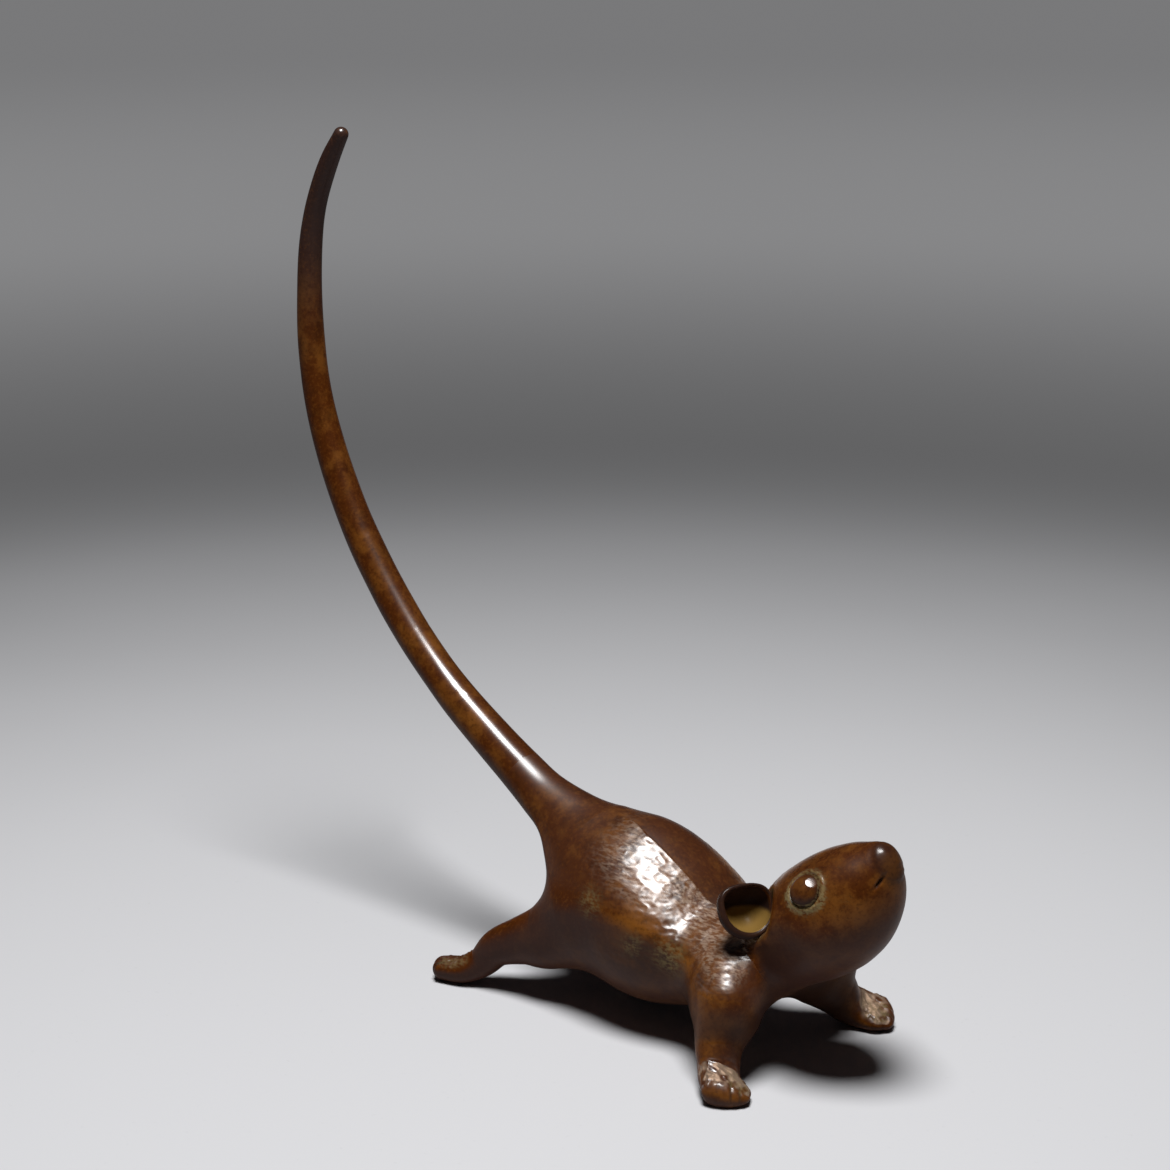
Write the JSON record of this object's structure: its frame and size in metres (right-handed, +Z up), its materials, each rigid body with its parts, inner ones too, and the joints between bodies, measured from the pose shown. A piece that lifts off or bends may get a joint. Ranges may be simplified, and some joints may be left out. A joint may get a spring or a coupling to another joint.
{
  "type": "mouse figurine",
  "caption": "Cast bronze mouse ornament standing on its paws, snout raised, cupped ears, domed eyes and a long tapering tail swept up high behind it.",
  "frame": {"origin": "on the floor under the middle of the figure's length and width", "axes": "+X towards the nose, +Y to the mouse's left, +Z up"},
  "size_m": [0.127, 0.0444, 0.1331],
  "materials": {
    "bronze_chased": "brown patina over a finely chased surface, highlights rubbed bright",
    "bronze_polished": "smooth brown patina, polished",
    "bronze_brown": "brown patina, satin, with olive dust in the hollows",
    "bronze_rubbed": "brown patina rubbed to a yellower metal inside the cup",
    "bronze_bright": "polished, with little patina"
  },
  "bodies": {
    "root": {"body": "bronze_chased", "head": "bronze_polished", "tail": "bronze_polished", "foreleg_right": "bronze_brown", "foreleg_left": "bronze_brown", "hindleg_right": "bronze_brown", "hindleg_left": "bronze_brown", "ear_right": "bronze_rubbed", "ear_left": "bronze_rubbed", "eye_right": "bronze_bright", "eye_left": "bronze_bright"}
  },
  "joints": []
}
